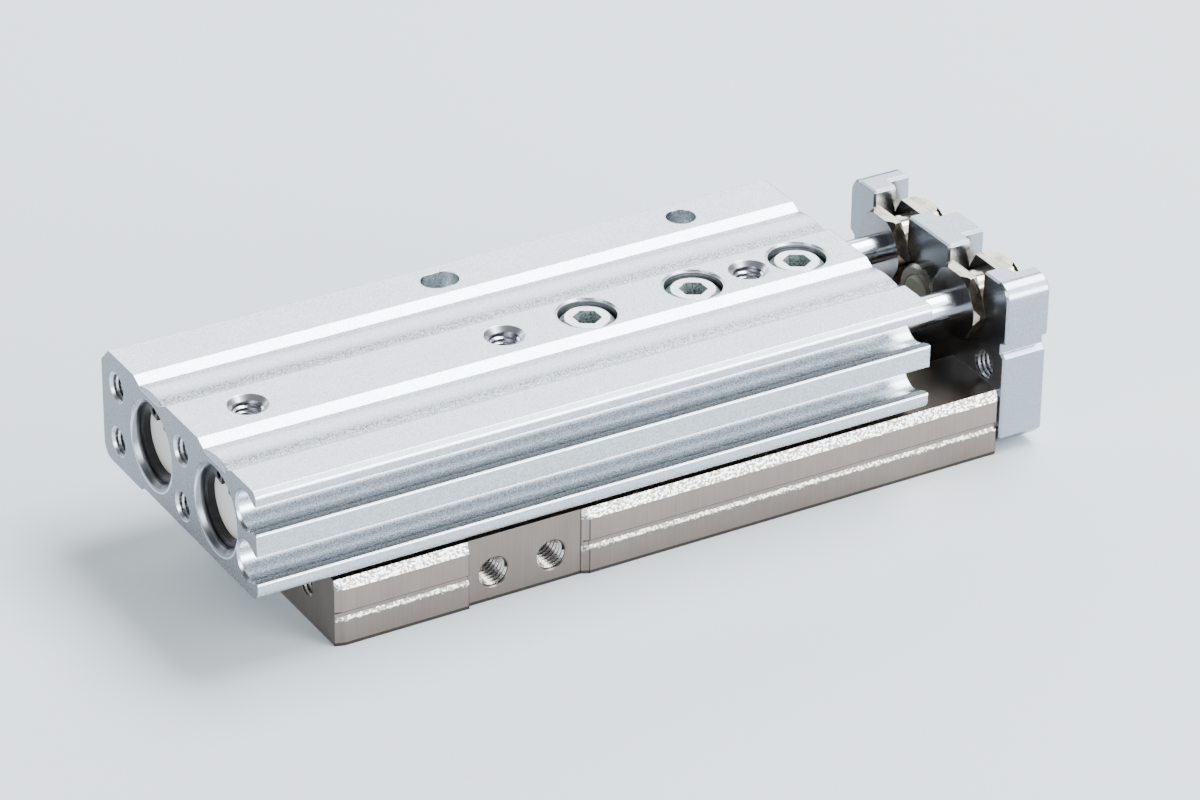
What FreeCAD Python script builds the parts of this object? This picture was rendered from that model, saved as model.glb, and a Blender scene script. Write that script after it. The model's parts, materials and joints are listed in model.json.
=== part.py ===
import FreeCAD, Part
import math
import os
import Sketcher
from FreeCAD import Vector

# Double-bore pneumatic slide table, lying with its table face down.
# +X is the way the table comes out, +Z is up, and Y = 0 is the middle between
# the bores. Lengths along X are counted from the head end of the cylinder
# body, and every piece is then shifted so that the origin lies in the middle
# of the table's outer face. All sizes are in millimetres.

SIZES = [
    # cylinder body, an extruded aluminium profile
    ("body_length", 72.5),
    ("body_near_side", 14.9),
    ("body_far_side", 17.1),
    ("body_top", 19.7),
    ("body_underside", 8.3),
    ("foot_drop", 0.45),
    ("foot_inner_edge", 8.7),
    ("far_top_chamfer", 1.6),
    ("far_bottom_radius", 1.5),
    ("near_bottom_radius", 1.1),
    ("near_top_chamfer", 0.5),
    # the two bores and what closes them
    ("bore_half_spacing", 6.7),
    ("bore_diameter", 6.0),
    ("seat_diameter", 8.0),
    ("head_seat_depth", 6.5),
    ("rod_seat_depth", 14.5),
    ("seat_mouth_chamfer", 0.4),
    ("ring_groove_start", 0.8),
    ("ring_groove_width", 0.8),
    ("ring_groove_depth", 0.3),
    ("snap_ring_width", 0.92),
    ("snap_ring_gap", 1.3),
    ("ring_lug_inner", 2.05),
    ("ring_lug_width", 1.9),
    ("ring_lug_hole", 0.7),
    ("seat_clearance", 0.02),
    ("face_clearance", 0.025),
    # shallow grooves over the bores
    ("top_groove_half_width", 3.42),
    ("top_groove_floor_half", 2.25),
    ("top_groove_depth", 0.6),
    ("top_groove_crown", 0.28),
    ("end_ramp_wall", 0.36),
    ("end_ramp_length", 0.45),
    # switch grooves in the near side
    ("switch_groove_inset", 2.05),
    ("switch_groove_radius", 1.9),
    ("switch_groove_mouth", 2.9),
    ("switch_groove_top_wall", 0.95),
    ("switch_groove_chamfer", 0.25),
    ("lower_lip_height", 0.3),
    # holes in the body
    ("top_tap_rear_inset", 6.85),
    ("top_tap_front_inset", 11.45),
    ("tapped_width", 3.0),
    ("top_tap_depth", 5.5),
    ("top_tap_mouth", 4.0),
    ("locating_width", 3.0),
    ("locating_depth", 3.0),
    ("locating_slot_length", 3.9),
    ("locating_side", 12.7),
    ("end_tap_middle", 0.3),
    ("end_tap_spacing", 13.6),
    ("end_tap_drop", 3.35),
    ("end_tap_rise", 5.85),
    ("small_tapped_width", 2.5),
    ("end_tap_depth", 4.8),
    ("end_tap_mouth", 3.05),
    ("port_width", 3.0),
    ("port_depth", 4.5),
    ("port_mouth", 3.6),
    ("port_passage", 1.4),
    ("port_beyond_seat", 1.75),
    # caps, covers and seals
    ("seal_section", 0.74),
    ("seal_groove_width", 1.2),
    ("cap_seal_start", 2.0),
    ("cover_seal_start", 5.2),
    ("cap_edge_chamfer", 0.2),
    ("head_bumper_diameter", 4.6),
    ("bumper_thickness", 0.8),
    ("rod_bumper_diameter", 5.6),
    ("rod_bumper_hole", 3.4),
    ("rod_seal_diameter", 5.2),
    ("rod_seal_length", 1.6),
    ("rod_seal_lip", 0.3),
    ("running_clearance", 0.03),
    # moving pistons and rods
    ("rod_diameter", 3.0),
    ("piston_length", 9.0),
    ("piston_seal_inset", 1.1),
    ("piston_margin", 0.5),
    ("piston_groove_radius", 2.1),
    ("magnet_start", 3.8),
    ("magnet_length", 2.5),
    ("magnet_inner_radius", 1.9),
    ("magnet_outer_radius", 2.85),
    ("rod_stub_diameter", 2.0),
    ("rod_stub_length", 4.0),
    ("rod_end_diameter", 2.5),
    ("turned_edge", 0.3),
    # linear guide between body and table
    ("rail_half_width", 4.4),
    ("rail_length", 44.0),
    ("rail_front_inset", 0.3),
    ("rail_bottom", 2.6),
    ("rail_edge_chamfer", 0.4),
    ("guide_gap", 0.8),
    ("roller_diameter", 1.6),
    ("roller_length", 1.5),
    ("roller_height", 4.9),
    ("roller_pitch", 3.4),
    ("roller_count", 7),
    ("cage_length", 23.6),
    ("cage_thickness", 0.4),
    ("cage_height", 2.9),
    ("cage_rail_margin", 0.2),
    ("rail_screw_front_inset", 5.6),
    ("rail_screw_pitch", 11.8),
    ("rail_screw_diameter", 3.0),
    ("screw_head_diameter", 5.5),
    ("screw_head_height", 3.0),
    ("screw_head_sink", 0.45),
    ("screw_hole_diameter", 3.3),
    ("screw_seat_diameter", 5.8),
    ("screw_seat_mouth", 6.1),
    ("screw_socket", 2.5),
    ("screw_socket_depth", 1.5),
    ("screw_head_edge", 0.55),
    ("screw_tip_margin", 1.0),
    # table
    ("retract_travel", 8.0),
    ("closed_gap", 0.07),
    ("table_length", 73.3),
    ("table_half_width", 13.45),
    ("table_top", 7.1),
    ("table_floor", 2.2),
    ("band_height", 1.15),
    ("band_inset", 0.35),
    ("side_line_bottom", 2.75),
    ("side_line_height", 0.85),
    ("side_line_depth", 0.25),
    ("corner_chamfer", 0.9),
    ("corner_chamfer_inset", 0.3),
    ("front_edge", 0.2),
    ("pad_start", 14.0),
    ("pad_length", 12.2),
    ("pad_depth", 0.4),
    ("pad_run_out", 0.8),
    ("side_tap_first", 16.85),
    ("side_tap_pitch", 6.2),
    ("side_tap_height", 3.0),
    ("side_tap_depth", 5.0),
    ("side_tap_mouth", 3.3),
    ("table_tap_spacing_long", 50.0),
    ("table_tap_spacing_wide", 20.0),
    ("table_tap_depth", 4.5),
    ("table_tap_mouth", 3.5),
    ("table_locating_depth", 2.5),
    ("rear_tap_side", 7.6),
    ("plate_screw_side", 8.4),
    ("end_screw_height", 3.9),
    ("end_screw_tap_depth", 7.0),
    # end plate with its two open slots
    ("plate_thickness", 5.0),
    ("plate_half_width", 14.05),
    ("plate_lower_inset", 0.2),
    ("plate_bottom", 1.0),
    ("plate_top", 18.6),
    ("plate_corner_radius", 1.7),
    ("plate_edge", 0.2),
    ("plate_foot_chamfer", 0.9),
    ("plate_groove_height", 11.6),
    ("plate_groove_half", 0.9),
    ("plate_groove_floor_half", 0.45),
    ("plate_groove_depth", 0.55),
    ("plate_slot_half_width", 2.98),
    ("plate_slot_edge", 0.25),
    ("plate_recess_radius", 4.42),
    ("plate_recess_depth", 2.5),
    ("plate_tap_half_spacing", 10.6),
    ("plate_tap_height", 8.7),
    ("plate_screw_diameter", 2.5),
    ("plate_screw_head", 4.5),
    ("plate_screw_head_height", 2.5),
    ("plate_screw_socket", 2.0),
    ("plate_screw_socket_depth", 1.25),
    ("plate_screw_clearance", 0.2),
    ("plate_screw_tip_margin", 1.0),
    # floating bushings and the middle stopper
    ("bushing_width", 7.0),
    ("bushing_flange", 1.3),
    ("bushing_neck_diameter", 5.4),
    ("bushing_turned_radius", 3.9),
    ("flange_bevel", 0.52),
    ("nut_bevel", 0.575),
    ("bevel_drop", 0.25),
    ("bushing_axial_gap", 0.05),
    ("nut_thickness", 2.3),
    ("stopper_height", 11.8),
    ("stopper_head_diameter", 6.2),
    ("stopper_head_height", 1.15),
    ("stopper_shank_diameter", 3.9),
    ("stopper_pad_diameter", 4.0),
    ("stopper_pad_proud", 1.38),
    ("stopper_pocket_depth", 0.8),
    ("stopper_socket", 2.0),
    ("stopper_socket_depth", 2.5),
]

doc = FreeCAD.newDocument("SlideTable")
sheet = doc.addObject("Spreadsheet::Sheet", "Sizes")


class Size:
    """A length together with the sheet formula that gives it."""

    def __init__(self, formula, value):
        self.formula = formula
        self.value = value

    def __add__(self, other):
        return join(self, "+", other)

    def __radd__(self, other):
        return join(other, "+", self)

    def __sub__(self, other):
        return join(self, "-", other)

    def __rsub__(self, other):
        return join(other, "-", self)

    def __mul__(self, other):
        return join(self, "*", other)

    def __rmul__(self, other):
        return join(other, "*", self)

    def __truediv__(self, other):
        return join(self, "/", other)

    def __neg__(self):
        return Size("(0 - %s)" % self.formula, -self.value)

    def root(self):
        return Size("sqrt(%s)" % self.formula, math.sqrt(self.value))


def least(size, limit):
    """The smaller of two lengths."""
    text = "min(%s; %s)" % (formula(size), formula(limit))
    return Size(text, min(number(size), number(limit)))


def number(size):
    return size.value if isinstance(size, Size) else float(size)


def formula(size):
    return size.formula if isinstance(size, Size) else "%.6f" % size


def join(left, sign, right):
    first, second = number(left), number(right)
    results = {
        "+": first + second,
        "-": first - second,
        "*": first * second,
        "/": first / second if second else 0.0,
    }
    text = "(%s %s %s)" % (formula(left), sign, formula(right))
    return Size(text, results[sign])


class Sheet:
    """The driving sizes by name."""


of = Sheet()
for row, (name, value) in enumerate(SIZES, start=1):
    sheet.set("A%d" % row, name)
    sheet.set("B%d" % row, str(value))
    sheet.setAlias("B%d" % row, name)
    setattr(of, name, Size("Sizes." + name, value))
doc.recompute()

pieces = []

# How far cuts are drawn past the stock that they open
PAST = 1.0

# Degrees that the snap rings' openings lean towards the near side
RING_TURN = 10

# The bores lie midway between the body's top and its underside. The upper
# switch groove keeps its wall to the top, and the lower one is centred below.
bore_height = (of.body_underside + of.body_top) / 2
upper_groove = of.body_top - of.switch_groove_top_wall - of.switch_groove_radius
lower_groove = (of.body_underside + upper_groove - of.switch_groove_radius) / 2

# At rest the table is out by its retract travel, and closed it stops with the
# stopper pad just clear of the body's front.
plate_inner = of.body_length + of.closed_gap + of.stopper_pad_proud + of.retract_travel
table_out = plate_inner - of.table_length
shift = Size("0", 0.0) - table_out - of.table_length / 2
rail_start = of.body_length - of.rail_front_inset - of.rail_length
head_port = of.head_seat_depth + of.port_beyond_seat
rod_port = of.body_length - of.rod_seat_depth - of.port_beyond_seat
first_tap = of.top_tap_rear_inset
last_tap = of.body_length - of.top_tap_front_inset
middle_tap = (first_tap + last_tap) / 2
last_rail_screw = rail_start + of.rail_length - of.rail_screw_front_inset
RAIL_SCREWS = [last_rail_screw - of.rail_screw_pitch * step for step in (2, 1, 0)]


# Ways to draw and shape a piece

def place(item, along, across=0.0, up=0.0):
    """Set a piece down, counted from the head end of the body."""
    for axis, size in zip("xyz", (shift + along, across, up)):
        item.setExpression("Placement.Base." + axis, formula(size))


def start_body(label, along=0.0, across=0.0, up=0.0):
    body = doc.addObject("PartDesign::Body", label)
    body.Label = label
    place(body, along, across, up)
    pieces.append(body)
    return body


def plane(body, role):
    return next(item for item in body.Origin.OriginFeatures if item.Role == role)


def sketch_on(body, role, name, height=0.0):
    sketch = body.newObject("Sketcher::SketchObject", name)
    sketch.AttachmentSupport = [(plane(body, role), "")]
    sketch.MapMode = "FlatFace"
    sketch.setExpression("AttachmentOffset.Base.z", formula(height))
    return sketch


def fix(sketch, kind, where, size):
    """Hold a point, or a radius, at a size from the sheet."""
    index = sketch.addConstraint(Sketcher.Constraint(kind, *where, number(size)))
    sketch.setExpression("Constraints[%d]" % index, formula(size))


def draw_loop(sketch, corners):
    """Close a loop through the corners. A corner is (u, v) when a straight
    side leaves it, or (u, v, centre, turn) when an arc does: centre is a
    pair, and turn is 1 for anticlockwise and -1 for clockwise."""
    sides = []
    for here, after in zip(corners, corners[1:] + corners[:1]):
        tail = Vector(number(here[0]), number(here[1]), 0)
        head = Vector(number(after[0]), number(after[1]), 0)
        if len(here) == 2:
            sides.append((sketch.addGeometry(Part.LineSegment(tail, head)), 1, 2))
            continue
        middle = Vector(number(here[2][0]), number(here[2][1]), 0)
        circle = Part.Circle(middle, Vector(0, 0, 1), (tail - middle).Length)
        ends = [math.atan2(p.y - middle.y, p.x - middle.x) for p in (tail, head)]
        if here[3] < 0:
            ends.reverse()
        arc = Part.ArcOfCircle(circle, ends[0], ends[1])
        first, last = (1, 2) if here[3] > 0 else (2, 1)
        sides.append((sketch.addGeometry(arc), first, last))
    for index, corner in enumerate(corners):
        side, first, last = sides[index]
        before = sides[index - 1]
        sketch.addConstraint(Sketcher.Constraint("Coincident", before[0], before[2], side, first))
        fix(sketch, "DistanceX", (-1, 1, side, first), corner[0])
        fix(sketch, "DistanceY", (-1, 1, side, first), corner[1])
        if len(corner) == 2:
            continue
        after = corners[(index + 1) % len(corners)]
        run = abs(number(after[0]) - number(corner[0]))
        rise = abs(number(after[1]) - number(corner[1]))
        if run > rise:
            fix(sketch, "DistanceY", (-1, 1, side, 3), corner[2][1])
        else:
            fix(sketch, "DistanceX", (-1, 1, side, 3), corner[2][0])


def draw_circles(sketch, centres, radius):
    for across, up in centres:
        middle = Vector(number(across), number(up), 0)
        circle = sketch.addGeometry(Part.Circle(middle, Vector(0, 0, 1), number(radius)))
        fix(sketch, "DistanceX", (-1, 1, circle, 3), across)
        fix(sketch, "DistanceY", (-1, 1, circle, 3), up)
        fix(sketch, "Radius", (circle,), radius)


def draw_hexagon(sketch, width):
    corner = width / math.sqrt(3)
    angles = [math.radians(60 * step) for step in range(6)]
    draw_loop(sketch, [(corner * math.cos(a), corner * math.sin(a)) for a in angles])


def pad(body, sketch, length, reverse=False):
    feature = body.newObject("PartDesign::Pad", sketch.Name + "_pad")
    feature.Profile = sketch
    feature.setExpression("Length", formula(length))
    feature.Reversed = reverse
    doc.recompute()
    return feature


def pocket(body, sketch, length, reverse=False):
    feature = body.newObject("PartDesign::Pocket", sketch.Name + "_cut")
    feature.Profile = sketch
    feature.setExpression("Length", formula(length))
    feature.Reversed = reverse
    doc.recompute()
    return feature


def turn(body, sketch, kind, axis):
    feature = body.newObject("PartDesign::" + kind, sketch.Name + "_turned")
    feature.Profile = sketch
    feature.ReferenceAxis = axis
    feature.Angle = 360
    doc.recompute()
    return feature


def break_end_edges(body, padded, size):
    """Bevel every edge of the two end faces of a pad that runs along X."""
    names = []
    for index, edge in enumerate(padded.Shape.Edges, start=1):
        box = edge.BoundBox
        if box.XLength < box.DiagonalLength / 100:
            names.append("Edge%d" % index)
    bevel = body.newObject("PartDesign::Chamfer", padded.Name + "_bevel")
    bevel.Base = (padded, names)
    bevel.setExpression("Size", formula(size))
    body.Tip = bevel
    doc.recompute()


def mirror(body, feature, role="XZ_Plane"):
    copy = body.newObject("PartDesign::Mirrored", feature.Name + "_other_side")
    copy.Originals = [feature]
    copy.MirrorPlane = (plane(body, role), [""])
    body.Tip = copy
    doc.recompute()
    return copy


def drill(body, sketch, width, depth, mouth=None, seat=None, reverse=False):
    """Drill every circle of a sketch. A mouth is a 90 degree countersink of
    that width, a seat is a counterbore of that width and depth."""
    doc.recompute()
    hole = body.newObject("PartDesign::Hole", sketch.Name + "_drilled")
    hole.Profile = sketch
    hole.ThreadType = "None"
    hole.DepthType = "Dimension"
    hole.DrillPoint = "Angled"
    hole.DrillPointAngle = 118
    hole.Reversed = reverse
    hole.setExpression("Diameter", formula(width))
    hole.setExpression("Depth", formula(depth))
    if mouth is not None:
        hole.HoleCutType = "Countersink"
        hole.HoleCutCountersinkAngle = 90
        hole.setExpression("HoleCutDiameter", formula(mouth))
    if seat is not None:
        hole.HoleCutType = "Counterbore"
        hole.setExpression("HoleCutDiameter", formula(seat[0]))
        hole.setExpression("HoleCutDepth", formula(seat[1]))
    doc.recompute()
    return hole


def turned_piece(label, profile, along, across=0.0, up=0.0):
    """A piece turned about its own X axis from points (x, radius)."""
    body = start_body(label, along, across, up)
    sketch = sketch_on(body, "XY_Plane", label + "_profile")
    draw_loop(sketch, profile)
    turn(body, sketch, "Revolution", (plane(body, "X_Axis"), [""]))
    return body


def gather(label, members):
    """Identical pieces that share one node."""
    group = doc.addObject("Part::Compound", label)
    group.Label = label
    group.Links = members
    for member in members:
        if member in pieces:
            pieces.remove(member)
    pieces.append(group)
    return group


SIDES = (("near", -1), ("far", 1))


# Cylinder body

def top_groove_corners(middle):
    """The shallow groove over one bore, from its far wall to its near wall."""
    floor = of.body_top - of.top_groove_depth
    half = of.top_groove_floor_half
    rise = of.top_groove_crown
    radius = (half * half + rise * rise) / (2 * rise)
    centre = (middle, floor + rise - radius)
    return [
        (middle + of.top_groove_half_width, of.body_top),
        (middle + half, floor, centre, 1),
        (middle - half, floor),
        (middle - of.top_groove_half_width, of.body_top),
    ]


def switch_groove_corners(height):
    """One round switch groove, from its upper lip to its lower lip."""
    half = of.switch_groove_mouth / 2
    radius = of.switch_groove_radius
    centre_y = of.switch_groove_inset - of.body_near_side
    lip = centre_y - (radius * radius - half * half).root()
    return [
        (-of.body_near_side, height + half),
        (lip, height + half, (centre_y, height), -1),
        (lip, height - half),
        (-of.body_near_side, height - half),
    ]


def body_outline():
    """The extrusion seen from the rod end, anticlockwise from the foot."""
    near, far = -of.body_near_side, of.body_far_side
    top, under = of.body_top, of.body_underside
    foot = under - of.foot_drop
    lowest_lip = lower_groove - of.switch_groove_mouth / 2 - of.lower_lip_height
    big, small = of.far_bottom_radius, least(of.near_bottom_radius, lowest_lip - under)
    corners = [
        (of.foot_inner_edge, under),
        (of.foot_inner_edge + of.foot_drop, foot),
        (far - big, foot, (far - big, foot + big), 1),
        (far, foot + big),
        (far, top - of.far_top_chamfer),
        (far - of.far_top_chamfer, top),
    ]
    corners += top_groove_corners(of.bore_half_spacing)
    corners += top_groove_corners(-of.bore_half_spacing)
    corners += [
        (near + of.near_top_chamfer, top),
        (near, top - of.near_top_chamfer),
    ]
    corners += switch_groove_corners(upper_groove)
    corners += switch_groove_corners(lower_groove)
    corners += [
        (near, under + small, (near + small, under + small), 1),
        (near + small, under),
    ]
    return corners


def bore_section():
    """Half section of a bore with its two seats and ring grooves."""
    length, seat = of.body_length, of.seat_diameter / 2
    mouth, groove = of.seat_mouth_chamfer, seat + of.ring_groove_depth
    start, width = of.ring_groove_start, of.ring_groove_width
    middle = of.bore_half_spacing
    head, rod = of.head_seat_depth, length - of.rod_seat_depth
    line = [
        (0.0, 0.0), (0.0, seat + mouth), (mouth, seat), (start, seat), (start, groove),
        (start + width, groove), (start + width, seat), (head, seat),
        (head, of.bore_diameter / 2), (rod, of.bore_diameter / 2), (rod, seat),
        (length - start - width, seat), (length - start - width, groove),
        (length - start, groove), (length - start, seat), (length - mouth, seat),
        (length, seat + mouth), (length, 0.0),
    ]
    return [(x, middle + radius) for x, radius in line]


def draw_axis(sketch, middle):
    """A construction line along the body, to turn a section about."""
    head, rod = Vector(0, number(middle), 0), Vector(of.body_length.value, 0, 0)
    axis = sketch.addGeometry(Part.LineSegment(head, head + rod), True)
    fix(sketch, "DistanceX", (-1, 1, axis, 1), 0.0)
    fix(sketch, "DistanceX", (-1, 1, axis, 2), of.body_length)
    fix(sketch, "DistanceY", (-1, 1, axis, 1), middle)
    fix(sketch, "DistanceY", (-1, 1, axis, 2), middle)


def countersink_groove(body, name, height):
    """A 45 degree countersink where a switch groove meets each end face."""
    length, middle = of.body_length, of.switch_groove_inset - of.body_near_side
    wide = of.switch_groove_radius + of.switch_groove_chamfer
    deep = 2 * of.switch_groove_chamfer
    cones = sketch_on(body, "XY_Plane", name, height)
    draw_loop(cones, [(0.0, middle), (deep, middle), (deep, middle + wide - deep),
                      (0.0, middle + wide)])
    draw_loop(cones, [(length, middle), (length, middle + wide),
                      (length - deep, middle + wide - deep), (length - deep, middle)])
    draw_axis(cones, middle)
    turn(body, cones, "Groove", (cones, ["Axis0"]))


def make_cylinder_body():
    body = start_body("cylinder_body")
    outline = sketch_on(body, "YZ_Plane", "body_outline")
    draw_loop(outline, body_outline())
    pad(body, outline, of.body_length)

    # each top groove runs down in a ramp at the head end, clear of the ring groove
    half = of.top_groove_floor_half
    floor = bore_height + of.seat_diameter / 2 + of.ring_groove_depth + of.end_ramp_wall
    ramp = sketch_on(body, "XZ_Plane", "end_ramp", half - of.bore_half_spacing)
    draw_loop(ramp, [(0.0, floor), (of.end_ramp_length, of.body_top), (0.0, of.body_top)])
    mirror(body, pocket(body, ramp, 2 * half))

    section = sketch_on(body, "XY_Plane", "bore_section", bore_height)
    draw_loop(section, bore_section())
    draw_axis(section, of.bore_half_spacing)
    mirror(body, turn(body, section, "Groove", (section, ["Axis0"])))

    countersink_groove(body, "upper_groove_ends", upper_groove)
    countersink_groove(body, "lower_groove_ends", lower_groove)

    top = of.body_top
    taps = sketch_on(body, "XY_Plane", "top_taps", top)
    places = [(x, 0.0) for x in (first_tap, middle_tap, last_tap)]
    draw_circles(taps, places, of.tapped_width / 2)
    drill(body, taps, of.tapped_width, of.top_tap_depth, mouth=of.top_tap_mouth)

    screws = sketch_on(body, "XY_Plane", "rail_screw_holes", top)
    places = [(x, 0.0) for x in RAIL_SCREWS]
    draw_circles(screws, places, of.screw_hole_diameter / 2)
    seat_depth = of.screw_head_height + of.screw_head_sink
    drill(body, screws, of.screw_hole_diameter, top - of.body_underside + PAST,
          seat=(of.screw_seat_diameter, seat_depth))
    mouth = sketch_on(body, "XY_Plane", "rail_screw_mouths", top)
    draw_circles(mouth, places, of.screw_seat_mouth / 2)
    pocket(body, mouth, (of.screw_seat_mouth - of.screw_seat_diameter) / 2)

    locating = sketch_on(body, "XY_Plane", "locating_hole", top)
    draw_circles(locating, [(last_tap, of.locating_side)], of.locating_width / 2)
    pocket(body, locating, of.locating_depth)
    slot = sketch_on(body, "XY_Plane", "locating_slot", top)
    draw_slot(slot, middle_tap, of.locating_side)
    pocket(body, slot, of.locating_depth)

    ends = sketch_on(body, "YZ_Plane", "end_taps")
    columns = (of.end_tap_middle, of.end_tap_middle + of.end_tap_spacing)
    lowest = bore_height - of.end_tap_drop
    rows = (lowest, lowest + of.end_tap_rise)
    draw_circles(ends, [(y, z) for y in columns for z in rows], of.small_tapped_width / 2)
    drill(body, ends, of.small_tapped_width, of.end_tap_depth, mouth=of.end_tap_mouth, reverse=True)

    ports = sketch_on(body, "XZ_Plane", "air_ports", -of.body_far_side)
    places = [(x, bore_height) for x in (head_port, rod_port)]
    draw_circles(ports, places, of.port_width / 2)
    drill(body, ports, of.port_width, of.port_depth, mouth=of.port_mouth, reverse=True)
    passages = sketch_on(body, "XZ_Plane", "air_passages", -of.body_far_side)
    draw_circles(passages, places, of.port_passage / 2)
    pocket(body, passages, of.body_far_side + of.bore_half_spacing, reverse=True)


def draw_slot(sketch, along, across):
    """A round-ended slot that lies along X."""
    radius = of.locating_width / 2
    reach = of.locating_slot_length / 2 - radius
    draw_loop(sketch, [
        (along - reach, across - radius),
        (along + reach, across - radius, (along + reach, across), 1),
        (along + reach, across + radius),
        (along - reach, across + radius, (along - reach, across), 1),
    ])


# What closes the two bores

def seal_groove(start, outer):
    """Corners of an outer seal groove, and the radius of its floor."""
    floor = outer - of.seal_section - of.seat_clearance
    end = start + of.seal_groove_width
    return [(start, outer), (start, floor), (end, floor), (end, outer)]


def make_ring_seal(label, along, across, outer):
    """A round-section seal ring just clear of the wall it runs in."""
    thick = (of.seal_section - of.seat_clearance) / 2
    ring = doc.addObject("Part::Torus", label)
    ring.setExpression("Radius1", formula(outer - of.seat_clearance / 2 - thick))
    ring.setExpression("Radius2", formula(thick))
    ring.Placement = FreeCAD.Placement(Vector(), FreeCAD.Rotation(Vector(0, 1, 0), 90))
    place(ring, along, across, bore_height)
    return ring


def make_snap_ring(label, along, across):
    """A flat ring, open at the top, with a lug and a plier hole at each end."""
    body = start_body(label)
    body.Placement.Rotation = FreeCAD.Rotation(Vector(1, 0, 0), RING_TURN)
    place(body, along, across, bore_height)
    outer = of.seat_diameter / 2 + of.ring_groove_depth - of.seat_clearance
    inner, thick = outer - of.snap_ring_width, of.ring_groove_width - 2 * of.face_clearance
    ring = sketch_on(body, "YZ_Plane", label + "_ring")
    draw_circles(ring, [(0.0, 0.0)], outer)
    draw_circles(ring, [(0.0, 0.0)], inner)
    pad(body, ring, thick)
    half, low, wide = of.snap_ring_gap / 2, of.ring_lug_inner, of.ring_lug_width
    lugs = sketch_on(body, "YZ_Plane", label + "_lugs")
    draw_loop(lugs, [(-wide, low), (wide, low), (inner * 0.8, inner * 0.7),
                     (wide, inner), (-wide, inner), (inner * -0.8, inner * 0.7)])
    pad(body, lugs, thick)
    gap = sketch_on(body, "YZ_Plane", label + "_gap", thick)
    draw_loop(gap, [(-half, 0.0), (half, 0.0), (half, outer + PAST), (-half, outer + PAST)])
    middle = half + of.ring_lug_hole
    draw_circles(gap, [(side * middle, inner - of.ring_lug_hole) for side in (-1, 1)],
                 of.ring_lug_hole / 2)
    pocket(body, gap, thick)
    return body


def make_bore_ends():
    length, start, width = of.body_length, of.ring_groove_start, of.ring_groove_width
    outer = of.seat_diameter / 2 - of.seat_clearance
    edge = of.cap_edge_chamfer
    cap_face = start + width
    cap = of.head_seat_depth - cap_face
    cover_start = length - of.rod_seat_depth
    cover = of.rod_seat_depth - start - width
    rod_hole = of.rod_diameter / 2 + of.running_clearance
    seal_seat = of.rod_seal_diameter / 2
    seal_depth = of.rod_seal_length + of.face_clearance
    cap_seal, cover_seal, lip = of.cap_seal_start, of.cover_seal_start, of.rod_seal_lip
    seals, rod_seals, head_rings, rod_rings, bumpers, stops = [], [], [], [], [], []
    for side, sign in SIDES:
        across = of.bore_half_spacing * sign
        groove = seal_groove(cap_seal, outer)
        turned_piece("head_cap_" + side, [
            (0.0, 0.0), (0.0, outer - edge), (edge, outer)] + groove + [
            (cap, outer), (cap, 0.0)], cap_face, across, bore_height)
        groove = seal_groove(cover_seal, outer)
        turned_piece("rod_cover_" + side, [
            (0.0, rod_hole), (0.0, outer)] + groove + [
            (cover - edge, outer), (cover, outer - edge), (cover, seal_seat),
            (cover - seal_depth, seal_seat), (cover - seal_depth, rod_hole)],
            cover_start, across, bore_height)
        half = of.seal_groove_width / 2
        seals.append(make_ring_seal("head_cap_seal_" + side, cap_face + cap_seal + half,
                                    across, outer))
        seals.append(make_ring_seal("rod_cover_seal_" + side, cover_start + cover_seal + half,
                                    across, outer))
        rod_seals.append(turned_piece("rod_seal_" + side, [
            (0.0, rod_hole), (0.0, seal_seat - of.seat_clearance),
            (of.rod_seal_length, seal_seat - of.seat_clearance),
            (of.rod_seal_length, rod_hole + lip), (of.rod_seal_length - lip, rod_hole)],
            cover_start + cover - of.rod_seal_length, across, bore_height))
        head_rings.append(make_snap_ring("head_ring_" + side, start + of.face_clearance, across))
        rod_rings.append(make_snap_ring("rod_ring_" + side,
                                        length - start - width + of.face_clearance, across))
        bumpers.append(turned_piece("head_bumper_" + side, [
            (0.0, 0.0), (0.0, of.head_bumper_diameter / 2),
            (of.bumper_thickness, of.head_bumper_diameter / 2), (of.bumper_thickness, 0.0)],
            of.head_seat_depth, across, bore_height))
        stops.append(turned_piece("rod_bumper_" + side, [
            (0.0, of.rod_bumper_hole / 2), (0.0, of.rod_bumper_diameter / 2),
            (of.bumper_thickness, of.rod_bumper_diameter / 2),
            (of.bumper_thickness, of.rod_bumper_hole / 2)],
            cover_start - of.bumper_thickness, across, bore_height))
    gather("bore_end_seals", seals)
    gather("rod_seals", rod_seals)
    gather("head_snap_rings", head_rings)
    gather("rod_end_snap_rings", rod_rings)
    gather("head_bumpers", bumpers)
    gather("rod_bumpers", stops)


# Linear guide

def vee_depth():
    """How deep each 90 degree raceway goes into its face."""
    cavity = of.roller_diameter + 2 * of.running_clearance
    return cavity / math.sqrt(2) - of.guide_gap / 2


def make_guide_rail():
    body = start_body("guide_rail", rail_start)
    half, bottom, top = of.rail_half_width, of.rail_bottom, of.body_underside
    edge, vee, middle = of.rail_edge_chamfer, vee_depth(), of.roller_height
    outline = sketch_on(body, "YZ_Plane", "rail_outline")
    draw_loop(outline, [
        (edge - half, bottom), (half - edge, bottom), (half, bottom + edge),
        (half, middle - vee), (half - vee, middle), (half, middle + vee), (half, top),
        (-half, top), (-half, middle + vee), (vee - half, middle), (-half, middle - vee),
        (-half, bottom + edge)])
    pad(body, outline, of.rail_length)
    taps = sketch_on(body, "XY_Plane", "rail_taps", top)
    places = [(x - rail_start, 0.0) for x in RAIL_SCREWS]
    hole = of.rail_screw_diameter / 2 + of.running_clearance
    draw_circles(taps, places, hole)
    pocket(body, taps, top - bottom)


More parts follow.
